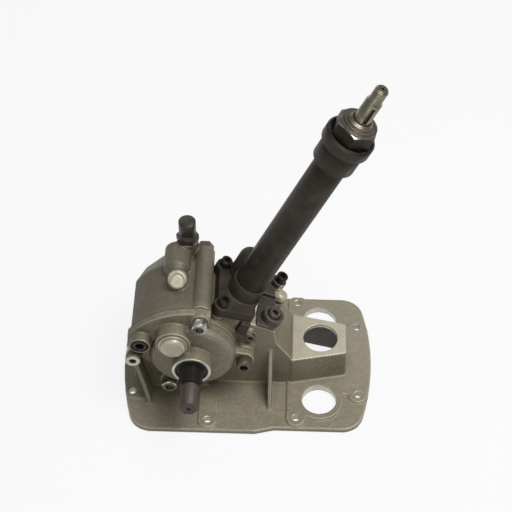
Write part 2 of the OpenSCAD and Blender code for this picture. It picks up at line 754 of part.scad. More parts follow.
module seat_bar() {
  color(c_cast) difference() {
    union() {
      on_column(seat_s) linear_extrude(bar_t) bar_outline();
      on_column(seat_s) translate([bar_x0, tongue_y - 5, 0])
        cube([flange_right + fb_ear_r - 5 - bar_x0, flange_half - fb_r - tongue_y + 10, tongue_h + 6]);
      on_column(seat_s) translate(right_spots[0]) cylinder(r = front_pad_r, h = flange_s1 - seat_s);
      on_column(seat_s) translate(right_spots[1])
        cylinder(r = fb_ear_r - 1, h = flange_s1 - seat_s + bar_rise);
      on_column(seat_s) translate(knob_spot) cylinder(r = knob_r, h = flange_t - 4);
      on_column(seat_s + flange_t - 4 - eps) translate(knob_spot)
        cylinder(r1 = knob_r, r2 = knob_r - 3, h = 3);
    }
    on_column(seat_s - 1) translate([bar_x0 - 20, -far, 0]) cube([20, 2 * far, 60]);
    on_column(seat_s - 1) cylinder(r = neck_r + web_gap, h = 60);
    tongue(seat_gap);
    on_column(seat_s - 1) translate([0, tongue_y - seat_gap, 0])
      cube([flange_right - fb_r - 6 + seat_gap, flange_half - fb_r - tongue_y + 2 * seat_gap, 3]);
    for (p = right_spots) on_column(seat_s - 1) translate(p) cylinder(r = fb_r + bolt_gap, h = far);
    on_column(flange_s1 - sunk) translate(right_spots[0]) cylinder(r = fb_head_r + 2, h = far);
  }
}
module flange_gasket() {
  color(c_paper) difference() {
    on_column(seat_s) linear_extrude(1) intersection() {
      flange_outline();
      flange_limit();
    }
    on_column(seat_s - 1) cylinder(r = up_out, h = 3);
    apron(0.3);
    for (p = left_spots) on_column(seat_s - 1) translate(p) cylinder(r = fb_r + bolt_gap, h = 3);
  }
}
module flange_bolts() {
  color(c_black) {
    for (p = left_spots) on_column(flange_s1) translate(p)
      socket_screw(fb_r, flange_bolt_d, flange_t + 23, fb_r * 0.9);
    on_column(flange_s1 - sunk) translate(right_spots[0])
      socket_screw(fb_r, flange_bolt_d, flange_t + 23 - sunk, fb_r * 0.9);
    on_column(flange_s1 + bar_rise) translate(right_spots[1])
      socket_screw(fb_r, flange_bolt_d, flange_t + 23 + bar_rise, fb_r * 0.9);
  }
}
module column_tube() {
  color(c_black) on_column(tube_s0) ring(tube_r - tube_wall, tube_r, tube_top - tube_s0);
}
module lower_collar() {
  color(c_black) on_column(collar_s0) difference() {
    union() {
      cylinder(r1 = collar_d / 2 - 2, r2 = collar_d / 2, h = 2 + eps);
      translate([0, 0, 2]) cylinder(d = collar_d, h = collar_s1 - collar_s0 - 4);
      translate([0, 0, collar_s1 - collar_s0 - 2 - eps])
        cylinder(r1 = collar_d / 2, r2 = collar_d / 2 - 2, h = 2);
    }
    translate([0, 0, -1]) cylinder(r = tube_r + seat_gap, h = far);
  }
}
module bearing_cup() {
  color(c_black) on_column(collar_s1) difference() {
    union() {
      cylinder(r1 = cup_d / 2 - 3, r2 = cup_d / 2, h = 3 + eps);
      translate([0, 0, 3]) cylinder(d = cup_d, h = cup_s1 - collar_s1 - 6);
      translate([0, 0, cup_s1 - collar_s1 - 3 - eps]) cylinder(r1 = cup_d / 2, r2 = cup_d / 2 - 3, h = 3);
    }
    translate([0, 0, -1]) cylinder(r = tube_r + seat_gap, h = tube_top - collar_s1 + 1);
    translate([0, 0, tube_top - collar_s1 - eps]) cylinder(r = cup_out + seat_gap, h = far);
    translate([0, 0, cap_s0 - collar_s1]) cylinder(r = cap_r + 1, h = far);
  }
}
module column_cap() {
  nut_h = cap_s1 - cap_s0 - 11;
  land_r = cap_r - 4;
  color(c_dark) on_column(cap_s0) difference() {
    union() {
      intersection() {
        rotate(20) cylinder(r = cap_r, h = nut_h, $fn = 6);
        translate([0, 0, -1]) cylinder(r1 = land_r + (nut_h + 1) * sqrt(3), r2 = land_r, h = nut_h + 1);
      }
      translate([0, 0, nut_h - eps]) cylinder(r = land_r - 0.75, h = 3);
      translate([0, 0, nut_h + 3 - 2 * eps]) cylinder(r = land_r - 4.5, h = 3);
      translate([0, 0, nut_h + 6 - 3 * eps]) cylinder(r = land_r - 8.5, h = 2.5);
      translate([0, 0, nut_h + 8.5 - 4 * eps])
        cylinder(r1 = land_r - 10.5, r2 = brg_wheel_r + 2.5, h = 2.5 + 4 * eps);
    }
    translate([0, 0, -far / 2]) cylinder(r = brg_wheel_r + clear, h = far);
  }
}
module cup_circlip() {
  color(c_steel) on_column(cup_brg1) difference() {
    ring(cup_out - 4, cup_out - 0.1, circlip_s1 - cup_brg1);
    translate([0, -2, -1]) cube([far, 4, 5]);
  }
}
module bearing_retainer() {
  color(c_steel) on_column(brg_up1) difference() {
    ring(socket_r + 2, up_out - 0.1, seat_s - brg_up1 - 1);
    for (a = [0 : 90 : 270]) rotate(a) translate([socket_r + 5, 0, 3]) cylinder(r = 2.2, h = 10);
  }
}

// Ball bearings share one section
function mid_r(r_in, r_out) = (r_in + r_out) / 2;
function brg_ball(r_in, r_out) = 0.3 * (r_out - r_in);
module groove_ring(r_in, r_out, w) {
  rotate_extrude() translate([mid_r(r_in, r_out), w / 2]) circle(brg_ball(r_in, r_out) + 0.08);
}
module outer_race(r_in, r_out, w) {
  difference() {
    ring(mid_r(r_in, r_out) + 0.17 * (r_out - r_in), r_out, w);
    groove_ring(r_in, r_out, w);
  }
}
module inner_race(r_in, r_out, w) {
  difference() {
    ring(r_in, mid_r(r_in, r_out) - 0.17 * (r_out - r_in), w);
    groove_ring(r_in, r_out, w);
  }
}
module race_balls(r_in, r_out, w, n) {
  for (i = [0 : n - 1]) rotate(360 * i / n) translate([mid_r(r_in, r_out), 0, w / 2])
    sphere(r = brg_ball(r_in, r_out));
}
module lower_outer_race() {
  color(c_steel) on_column(brg_low0) outer_race(low_in, low_out, brg_low1 - brg_low0);
}
module lower_inner_race() {
  color(c_steel) on_column(brg_low0) inner_race(low_in + seat_gap, low_out, brg_low1 - brg_low0);
}
module lower_balls() {
  color(c_steel) on_column(brg_low0) race_balls(low_in, low_out, brg_low1 - brg_low0, 9);
}
module upper_outer_race() {
  color(c_steel) on_column(brg_up0) outer_race(up_in, up_out, brg_up1 - brg_up0);
}
module upper_inner_race() {
  color(c_steel) on_column(brg_up0) inner_race(up_in + seat_gap, up_out, brg_up1 - brg_up0);
}
module upper_balls() {
  color(c_steel) on_column(brg_up0) race_balls(up_in, up_out, brg_up1 - brg_up0, 9);
}
module cup_outer_race() {
  color(c_steel) on_column(tube_top) outer_race(brg_wheel_r, cup_out, cup_brg1 - tube_top);
}
module cup_inner_race() {
  color(c_steel) on_column(tube_top) inner_race(brg_wheel_r + seat_gap, cup_out, cup_brg1 - tube_top);
}
module cup_balls() {
  color(c_steel) on_column(tube_top) race_balls(brg_wheel_r, cup_out, cup_brg1 - tube_top, 9);
}

// A helical groove as a solid of rings, cut in from outside or out from inside
function wrap(t) = t - worm_lead * round(t / worm_lead);
function groove_at(z, a, side, r) =
  let (d = wrap(z - worm_lead * a / 360), g = pow(groove_r, 2) - d * d)
  g <= 0 ? r : (side < 0 ? min(r, ball_circle_r - sqrt(g)) : max(r, ball_circle_r + sqrt(g)));
module groove_solid(half, side, r, na, dz) {
  nz = round(2 * half / dz);
  points = [for (k = [0 : nz]) for (j = [0 : na - 1])
    let (z = -half + 2 * half * k / nz, a = 360 * j / na, q = groove_at(z, a, side, r))
    [q * cos(a), q * sin(a), z]];
  walls = [for (k = [0 : nz - 1]) for (j = [0 : na - 1])
    let (n = (j + 1) % na, p = k * na)
    each [[p + j, p + na + j, p + na + n], [p + j, p + na + n, p + n]]];
  polyhedron(points, concat([[for (j = [0 : na - 1]) j]], walls,
    [[for (j = [na - 1 : -1 : 0]) nz * na + j]]));
}
worm_half = gear_half - 6;
module worm_shaft() {
  color(c_steel) on_column(0) difference() {
    union() {
      groove_solid(worm_half, -1, worm_od_r, 24, 1);
      translate([0, 0, brg_low0 - 3]) cylinder(r = low_in, h = 2 * gear_half);
      translate([0, 0, brg_low1]) cylinder(r = low_in + 2, h = 6.5);
      translate([0, 0, 0]) cylinder(r = low_in - 0.3, h = brg_up0);
      translate([0, 0, worm_half - 0.5]) cylinder(r = up_in + 2, h = brg_up0 - worm_half + 0.5);
      translate([0, 0, brg_up0 - eps]) cylinder(r = up_in, h = socket_s0 - brg_up0 + 1);
      translate([0, 0, socket_s0]) cylinder(r = socket_r, h = socket_s1 - socket_s0);
    }
    translate([0, 0, socket_s1 - 26]) cylinder(r = spigot_r + seat_gap, h = 27);
    translate([0, 0, pin_s]) rotate([90, 0, 0]) cylinder(r = pin_r + seat_gap, h = 60, center = true);
  }
}
module coupling_pin() {
  color(c_steel) on_column(pin_s) rotate([90, 0, 0])
    cylinder(r = pin_r, h = 2 * socket_r - 0.5, center = true);
}
module steering_shaft() {
  s_tip = thread_s1 - 3;
  color(c_steel) on_column(0) difference() {
    union() {
      translate([0, 0, socket_s1 - 25]) cylinder(r = spigot_r, h = 26);
      translate([0, 0, socket_s1]) cylinder(d = shaft_d, h = tube_top - socket_s1);
      translate([0, 0, tube_top - 7]) cylinder(r = brg_wheel_r + 2, h = 7);
      translate([0, 0, tube_top - eps]) cylinder(r = brg_wheel_r, h = cap_s1 - tube_top);
      translate([0, 0, cap_s1 - 2 * eps]) cylinder(d = wheel_seat_d, h = seat_s1 - cap_s1 - 4);
      translate([0, 0, seat_s1 - 4 - 3 * eps])
        cylinder(r1 = wheel_seat_d / 2, r2 = wheel_thread_d / 2, h = 4);
      translate([0, 0, seat_s1 - 4 * eps]) cylinder(d = wheel_thread_d, h = s_tip - seat_s1);
      translate([0, 0, s_tip - 5 * eps])
        cylinder(r1 = wheel_thread_d / 2, r2 = wheel_thread_d / 2 - 2.5, h = 3);
    }
    translate([0, 0, pin_s]) rotate([90, 0, 0]) cylinder(r = pin_r + seat_gap, h = 60, center = true);
    rotate(4) translate([-key_w / 2, -far, key_s0])
      cube([key_w, far - wheel_seat_d / 2 + 4, key_s1 - key_s0]);
    translate([0, 0, thread_s1 - 6]) cylinder(r = 2.2, h = 10);
  }
}

// Ball nut with rack, balls and return tubes
function rack_tooth(z) = let (q = rack_p / 4, t = tan(pressure_angle)) [
  [-rack_root, z - q - 1.25 * gear_m * t], [-rack_pitch - gear_m, z - q + gear_m * t],
  [-rack_pitch - gear_m, z + q - gear_m * t], [-rack_root, z + q + 1.25 * gear_m * t]];
module ball_nut() {
  n_teeth = floor((nut_l / 2 / rack_p) - 0.4);
  color(c_dark) on_column(0) difference() {
    union() {
      translate([-rack_root, -nut_half_y, -nut_l / 2]) cube([rack_root + nut_back, 2 * nut_half_y, nut_l]);
      for (i = [-n_teeth : n_teeth - 1]) rotate([90, 0, 0])
        linear_extrude(gear_face, center = true) polygon(concat(
          [[-rack_root + 1, rack_tooth((i + 0.5) * rack_p)[0][1]]], rack_tooth((i + 0.5) * rack_p),
          [[-rack_root + 1, rack_tooth((i + 0.5) * rack_p)[3][1]]]));
    }
    groove_solid(nut_l / 2 + 2, 1, nut_bore_r, 24, 1);
    for (c = [-2, 2]) for (e = [-1, 1]) translate([ball_circle_r, 0, (c + e) * worm_lead]) rotate([0, 90, 0])
      cylinder(r = return_r + seat_gap, h = nut_back);
    translate([nut_back - 10, 0, 0]) rotate([0, 90, 0]) cylinder(r = 2.5 + seat_gap, h = 12);
  }
}
module nut_balls() {
  step = 360 * (ball_d + 0.3) / (2 * PI * ball_circle_r);
  n = floor(330 / step);
  color(c_steel) on_column(0) for (c = [-2, 2]) for (i = [-n : n]) let (a = i * step)
    translate([ball_circle_r * cos(a), ball_circle_r * sin(a), worm_lead * (c + a / 360)])
      sphere(d = ball_d);
}
module return_tubes() {
  leg = nut_back - ball_circle_r - groove_r - 0.2;
  color(c_steel) on_column(0) for (c = [-2, 2]) translate([nut_back, 0, c * worm_lead]) {
    rotate([90, 0, 0]) rotate(-90) rotate_extrude(angle = 180) translate([tube_loop, 0]) difference() {
      circle(return_r);
      circle(return_r - 0.7);
    }
    for (e = [-1, 1]) translate([-leg, 0, e * worm_lead]) rotate([0, 90, 0])
      ring(return_r - 0.7, return_r, leg);
  }
}
module tube_clamp() {
  color(c_steel) on_column(0) difference() {
    union() {
      translate([return_top, -5, -3.6 * worm_lead]) cube([strap_t, 10, 7.2 * worm_lead]);
      translate([nut_back, 0, 0]) rotate([0, 90, 0]) cylinder(r = 4.5, h = return_top - nut_back + eps);
    }
    translate([nut_back - 1, 0, 0]) rotate([0, 90, 0]) cylinder(r = 2.5 + bolt_gap, h = 40);
  }
}
module clamp_screw() {
  color(c_steel) on_column(0) translate([return_top + strap_t, 0, 0]) rotate([0, 90, 0]) {
    translate([0, 0, -(return_top + strap_t - nut_back) - 8])
      cylinder(r = 2.5, h = return_top + strap_t - nut_back + 8 + eps);
    cylinder(r = 4.2, h = 3);
  }
}

// Sector shaft with its teeth, serrations and threaded end
function inv_deg(r) = let (a = acos(base_r / r)) tan(a) * 180 / PI - a;
function half_tooth(r) = 90 / sector_teeth - backlash / 2 / pitch_r * 180 / PI
  + inv_deg(pitch_r) - inv_deg(max(r, base_r));
tooth_radii = [for (i = [0 : 6]) base_r + (tip_r - 0.25 - base_r) * i / 6];
function tooth_half(side) = [for (r = tooth_radii)
  r * [cos(side * half_tooth(r)), sin(side * half_tooth(r))]];
function reversed(p) = [for (i = [len(p) - 1 : -1 : 0]) p[i]];
function foot(side) = (root_r - 0.6) * [cos(side * half_tooth(base_r)), sin(side * half_tooth(base_r))];
module sector_shaft() {
  spline_r = spline_d / 2;
  face = gear_face / 2 + 0.5;
  step = 360 / spline_n;
  color(c_dark) difference() {
    union() {
      on_sector(face) linear_extrude(2 * face) union() {
        circle(root_r);
        for (i = [-2 : 2]) rotate(-lean + i * 360 / sector_teeth)
          polygon(concat([foot(-1)], tooth_half(-1), reversed(tooth_half(1)), [foot(1)]));
      }
      on_sector(rear_bush1) cylinder(r = rear_r, h = rear_bush1 - face);
      on_sector(-face) cylinder(r = journal_r, h = -face - ring_y - 1);
      on_sector(ring_y + 3) linear_extrude(spline_l + 3) polygon([for (i = [0 : spline_n - 1])
        for (q = [[-0.32, -1.5], [-0.12, 0], [0.12, 0], [0.32, -1.5]])
          (spline_r + q[1]) * [cos((i + q[0]) * step), sin((i + q[0]) * step)]]);
      on_sector(ring_y - spline_l + 1) cylinder(d = end_d, h = end_l + 1 - 2);
      on_sector(ring_y - spline_l - end_l + 2 + eps) cylinder(r1 = end_d / 2, r2 = end_d / 2 - 2, h = 2);
    }
    on_sector(ring_y - spline_l - end_l + 7) cylinder(r1 = 0.5, r2 = 4, h = 8);
  }
}

housing();
sector_cover();
cover_gasket();
cover_screws();
through_nut();
cover_plug();
front_bush();
rear_bush();
sector_seal();
rear_cap();
adjuster_screw();
adjuster_nut();
filler_plug();
breather();
column_flange();
flange_gasket();
flange_bolts();
column_tube();
lower_collar();
bearing_cup();
column_cap();
cup_circlip();
seat_bar();
bearing_retainer();
lower_outer_race();
upper_outer_race();
cup_outer_race();
worm_shaft();
steering_shaft();
coupling_pin();
lower_inner_race();
upper_inner_race();
cup_inner_race();
lower_balls();
upper_balls();
cup_balls();
ball_nut();
nut_balls();
return_tubes();
tube_clamp();
clamp_screw();
sector_shaft();
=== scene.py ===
"""Looks of the steering gearbox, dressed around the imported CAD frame. Metres, +Z up."""
import math

import bpy
import numpy as np
from mathutils import Matrix, Vector

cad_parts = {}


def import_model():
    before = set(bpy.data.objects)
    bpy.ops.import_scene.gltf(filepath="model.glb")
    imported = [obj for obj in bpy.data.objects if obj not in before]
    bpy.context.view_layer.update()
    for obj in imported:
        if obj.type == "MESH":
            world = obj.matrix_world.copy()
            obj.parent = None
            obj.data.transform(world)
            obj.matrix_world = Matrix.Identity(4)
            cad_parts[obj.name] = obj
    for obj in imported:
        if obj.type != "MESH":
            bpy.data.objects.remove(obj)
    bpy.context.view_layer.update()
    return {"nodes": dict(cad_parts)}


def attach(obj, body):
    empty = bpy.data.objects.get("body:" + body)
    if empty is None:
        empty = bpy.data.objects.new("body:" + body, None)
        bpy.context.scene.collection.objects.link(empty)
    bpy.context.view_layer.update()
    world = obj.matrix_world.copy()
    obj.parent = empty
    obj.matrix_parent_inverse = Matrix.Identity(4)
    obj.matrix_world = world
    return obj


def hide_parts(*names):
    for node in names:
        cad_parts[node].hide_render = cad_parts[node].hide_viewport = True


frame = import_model()
NODE = frame["nodes"]
MM = 0.001

# The worm and column axis, and the cross shaft's axis, as in the part's source
LEAN = math.radians(23.7)
COLUMN_FOOT = Vector((-0.0437, 0.0, 0.094))
COLUMN_UP = Vector((math.sin(LEAN), 0.0, math.cos(LEAN)))
COLUMN_OUT = Vector((math.cos(LEAN), 0.0, -math.sin(LEAN)))
SHAFT_X, SHAFT_Z = -0.083463, 0.111455


# Materials
class Paint:
    """One node material, built by short calls."""

    def __init__(self, name, metallic):
        self.mat = bpy.data.materials.new(name)
        self.mat.use_nodes = True
        self.tree = self.mat.node_tree
        self.bsdf = self.tree.nodes["Principled BSDF"]
        self.bsdf.inputs["Metallic"].default_value = metallic
        self.where = self.new("ShaderNodeTexCoord").outputs["Object"]
        self.height = None

    def new(self, kind, **props):
        node = self.tree.nodes.new(kind)
        for key, value in props.items():
            setattr(node, key, value)
        return node

    def put(self, value, socket):
        """Links a socket, or sets a plain value."""
        if isinstance(value, bpy.types.NodeSocket):
            self.tree.links.new(value, socket)
        else:
            socket.default_value = value

    def put_colour(self, value, socket):
        """Links a socket, or sets a plain colour."""
        self.put(value if isinstance(value, bpy.types.NodeSocket) else (*value, 1.0), socket)

    def noise(self, scale, detail=4.0, rough=0.55, stretch=None):
        """Cloudy noise from 0 to 1, with its scale per metre."""
        node = self.new("ShaderNodeTexNoise")
        node.inputs["Scale"].default_value = scale
        node.inputs["Detail"].default_value = detail
        node.inputs["Roughness"].default_value = rough
        where = self.where
        if stretch:
            mapping = self.new("ShaderNodeMapping")
            mapping.inputs["Scale"].default_value = stretch
            self.put(where, mapping.inputs["Vector"])
            where = mapping.outputs["Vector"]
        self.put(where, node.inputs["Vector"])
        return node.outputs["Fac"]

    def cells(self, scale):
        node = self.new("ShaderNodeTexVoronoi")
        node.inputs["Scale"].default_value = scale
        self.put(self.where, node.inputs["Vector"])
        return node.outputs["Distance"]

    def step(self, value, low, high, out_low=0.0, out_high=1.0):
        """A clamped ramp; where low is above high, it runs the other way."""
        node = self.new("ShaderNodeMapRange", clamp=True)
        self.put(value, node.inputs["Value"])
        for key, number in (("From Min", low), ("From Max", high), ("To Min", out_low), ("To Max", out_high)):
            node.inputs[key].default_value = number
        return node.outputs["Result"]

    def math(self, how, a, b=0.0):
        node = self.new("ShaderNodeMath", operation=how)
        self.put(a, node.inputs[0])
        self.put(b, node.inputs[1])
        return node.outputs[0]

    def vector(self, how, a, b=(0.0, 0.0, 0.0)):
        node = self.new("ShaderNodeVectorMath", operation=how)
        self.put(a, node.inputs[0])
        self.put(b, node.inputs[1])
        return node.outputs

    def mix(self, share, a, b):
        """Colour a, with a share of colour b over it."""
        node = self.new("ShaderNodeMix", data_type="RGBA")
        self.put(share, node.inputs[0])
        self.put_colour(a, node.inputs[6])
        self.put_colour(b, node.inputs[7])
        return node.outputs[2]

    def edge(self, low, high):
        return self.step(self.new("ShaderNodeNewGeometry").outputs["Pointiness"], low, high)

    def crevice(self, distance, low=0.25, high=0.85):
        """1 deep in a corner, 0 in the open."""
        node = self.new("ShaderNodeAmbientOcclusion", samples=8)
        node.inputs["Distance"].default_value = distance
        return self.step(node.outputs["AO"], low, high, 1.0, 0.0)

    def along(self, axis, origin, pitch):
        """A smooth wave along an axis, from 0 to 1, for turning marks."""
        offset = self.vector("SUBTRACT", self.where, origin)["Vector"]
        reach = self.vector("DOT_PRODUCT", offset, axis)["Value"]
        turn = self.math("MULTIPLY", reach, 2 * math.pi / pitch)
        return self.step(self.math("SINE", turn), -1.0, 1.0)

    def place(self, axis, low, high):
        """0 to 1 between two distances along an axis."""
        return self.step(self.vector("DOT_PRODUCT", self.where, axis)["Value"], low, high)

    def zone(self, ramps):
        """The product of several ramps, each with an axis and two distances along it."""
        share = self.place(*ramps[0])
        for ramp in ramps[1:]:
            share = self.math("MULTIPLY", share, self.place(*ramp))
        return share

    def off_axis(self, origin):
        """Distance from a line through a point along Y."""
        offset = self.vector("SUBTRACT", self.where, origin)["Vector"]
        flat = self.vector("MULTIPLY", offset, (1.0, 0.0, 1.0))["Vector"]
        return self.vector("LENGTH", flat)["Value"]

    def bump(self, value, depth, strength=1.0):
        """One more layer of relief, over those before it."""
        node = self.new("ShaderNodeBump")
        node.inputs["Strength"].default_value = strength
        node.inputs["Distance"].default_value = depth
        self.put(value, node.inputs["Height"])
        if self.height is not None:
            self.put(self.height, node.inputs["Normal"])
        self.height = node.outputs["Normal"]

    def done(self, colour, roughness):
        self.put_colour(colour, self.bsdf.inputs["Base Color"])
        self.put(roughness, self.bsdf.inputs["Roughness"])
        if self.height is not None:
            self.put(self.height, self.bsdf.inputs["Normal"])
        return self.mat


def shade(colour, share):
    return tuple(share * v for v in colour)


# Painted shade at the gear end and the left end, painted light on the plate's top: ramps along X, Y or Z
LEFT, BACK, UPWARD, DOWNWARD = (-1, 0, 0), (0, 1, 0), (0, 0, 1), (0, 0, -1)
ABOVE_PLATE = (UPWARD, 0.02, 0.06)
GEAR_END = (ABOVE_PLATE, (LEFT, 0.045, 0.075), (BACK, -0.062, -0.045))
LEFT_END = ((LEFT, 0.135, 0.172), ABOVE_PLATE)
PLATE_TOP = (DOWNWARD, -0.03, -0.013)
PLATE_LIGHT_SPAN = (BACK, -0.13, 0.02)
GEAR_END_SHADE, LEFT_END_SHADE, PAINTED_LIGHT_FRONT, PAINTED_LIGHT_BACK = 0.6, 0.4, 0.10, 0.36

# Painted shade in the corners of machined and of turned parts
MACHINED_CORNER_SHADE, TURNED_CORNER_SHADE = (0.04, 0.035, 0.028), (0.03, 0.026, 0.02)
# Ramps at the two edges of the groove round a plug's face, measured from its rim
GROOVE_INNER, GROOVE_OUTER = (-0.0022, -0.0012), (0.0004, 0.0012)


def cast_paint(name, dark, mid, light, metallic, painted_shade_and_light=False):
    """Sand-cast metal: blotches, grain, edges paler (worn, and painted highlight), painted shade in corners.
    """
    p = Paint(name, metallic)
    big, patch, grain = p.noise(11, 4), p.noise(58, 6, 0.65), p.noise(900, 3, 0.6)
    fleck = p.noise(210, 2, 0.6)
    colour = p.mix(p.step(big, 0.35, 0.72, 0.0, 0.6), mid, dark)
    colour = p.mix(p.step(patch, 0.5, 0.82, 0.0, 0.36), colour, light)
    colour = p.mix(p.step(fleck, 0.5, 0.68, 0.0, 0.6), colour, dark)
    colour = p.mix(p.step(fleck, 0.5, 0.32, 0.0, 0.17), colour, light)
    colour = p.mix(p.step(grain, 0.5, 0.72, 0.0, 0.4), colour, dark)
    # Edges paler: partly worn, partly painted highlight
    colour = p.mix(p.edge(0.507, 0.552), colour, light)
    if painted_shade_and_light:
        # Painted shade: the gear end and the left end darker
        colour = p.mix(p.math("MULTIPLY", p.zone(GEAR_END), GEAR_END_SHADE), colour, shade(dark, 0.6))
        colour = p.mix(p.math("MULTIPLY", p.zone(LEFT_END), LEFT_END_SHADE), colour, shade(dark, 0.5))
        # Painted light: the plate's top paler, more so towards the back
        plate_light = p.step(p.place(*PLATE_LIGHT_SPAN), 0, 1, PAINTED_LIGHT_FRONT, PAINTED_LIGHT_BACK)
        colour = p.mix(p.math("MULTIPLY", p.place(*PLATE_TOP), plate_light), colour, light)
    # Painted shade: darker in corners and creases
    colour = p.mix(p.math("MULTIPLY", p.crevice(0.02), 0.38), colour, shade(dark, 0.35))
    p.bump(patch, 0.0006)
    p.bump(fleck, 0.0004)
    p.bump(grain, 0.0003)
    p.bump(p.cells(420), 0.00012)
    return p.done(colour, p.step(patch, 0.3, 0.75, 0.42, 0.62))


def machined_paint(name, base, tint, metallic, low, high, scale=600):
    """Cut metal: fine streaks and handling stains."""
    p = Paint(name, metallic)
    streak, stain = p.noise(scale, 3, 0.5, (1.0, 1.0, 0.15)), p.noise(45, 5)
    colour = p.mix(p.step(stain, 0.42, 0.72, 0.0, 0.8), base, tint)
    colour = p.mix(p.step(streak, 0.5, 0.8, 0.0, 0.3), colour, tint)
    # Painted shade: darker in corners
    colour = p.mix(p.math("MULTIPLY", p.crevice(0.01), 0.6), colour, MACHINED_CORNER_SHADE)
    p.bump(streak, 0.00006)
    return p.done(colour, p.step(stain, 0.3, 0.75, low, high))


def black_paint(name, base, dust, edge, low, high):
    """Brown-black enamel with dust, orange peel and rubbed edges."""
    p = Paint(name, 0.0)
    p.bsdf.inputs["Specular IOR Level"].default_value = 0.29
    p.bsdf.inputs["Specular Tint"].default_value = (1.0, 0.86, 0.70, 1.0)
    peel, cloud, speck = p.noise(260, 2), p.noise(26, 6, 0.65), p.noise(1500, 2)
    colour = p.mix(p.step(cloud, 0.42, 0.8, 0.0, 0.7), base, dust)
    colour = p.mix(p.step(speck, 0.68, 0.76, 0.0, 0.4), colour, dust)
    rub = p.math("MULTIPLY", p.edge(0.53, 0.6), p.step(cloud, 0.35, 0.6))
    colour = p.mix(rub, colour, edge)
    p.bump(peel, 0.00025, 0.6)
    p.bump(cloud, 0.0005, 0.5)
    return p.done(colour, p.step(cloud, 0.3, 0.7, low, high))


def turned_paint(name, base, tint, metallic, axis, origin, pitch, low, high):
    """Turned steel with tool marks round an axis."""
    p = Paint(name, metallic)
    mark, stain, speck = p.along(axis, origin, pitch), p.noise(60, 5), p.noise(800, 3)
    colour = p.mix(p.step(stain, 0.4, 0.7), base, tint)
    colour = p.mix(p.step(speck, 0.6, 0.75, 0.0, 0.4), colour, tint)
    # Painted shade: darker in corners
    colour = p.mix(p.math("MULTIPLY", p.crevice(0.008), 0.7), colour, TURNED_CORNER_SHADE)
    p.bump(mark, 0.00004, 0.7)
    p.bump(speck, 0.00005)
    return p.done(colour, p.step(stain, 0.3, 0.75, low, high))


def plain_paint(name, base, tint, low, high, grain, depth):
    """Rubber and gasket sheet: a fine grain over a cloudy colour."""
    p = Paint(name, 0.0)
    fine, cloud = p.noise(grain, 3), p.noise(40, 5)
    colour = p.mix(p.step(cloud, 0.4, 0.7), base, tint)
    p.bump(fine, depth)
    return p.done(colour, p.step(fine, 0.3, 0.7, low, high))


def plug_paint(name, base, tint, node, rim):
    """A worn plug: blotches, and a groove round its face."""
    p = Paint(name, 0.2)
    corner = [Vector(v) for v in NODE[node].bound_box]
    reach = p.off_axis(sum(corner, Vector()) / len(corner))
    inner = p.step(reach, *(rim + v for v in GROOVE_INNER))
    outer = p.step(reach, *(rim + v for v in GROOVE_OUTER), 1.0, 0.0)
    groove = p.math("MULTIPLY", inner, outer)
    blotch, fine = p.noise(150, 5, 0.6), p.noise(900, 3)
    colour = p.mix(p.step(blotch, 0.44, 0.66, 0.0, 0.75), base, tint)
    colour = p.mix(p.math("MULTIPLY", groove, 0.55), colour, shade(tint, 0.4))
    p.bump(p.math("SUBTRACT", blotch, groove), 0.0006)
    p.bump(fine, 0.00012)
    return p.done(colour, p.step(blotch, 0.3, 0.7, 0.36, 0.52))


# Axis, origin and pitch of the turning marks, and the filler plug's rim
COLUMN_MARKS = (tuple(COLUMN_UP), tuple(COLUMN_FOOT))
SHAFT_MARKS = (BACK, (0.0, 0.0, 0.0), 0.0011)
BREATHER_MARKS = (UPWARD, (0.0, 0.0, 0.0), 0.0016)
TURNED_PITCH, THREAD_PITCH, CAP_PITCH = 0.0009, 0.0018, 0.0013
FILLER_RIM = 0.0122

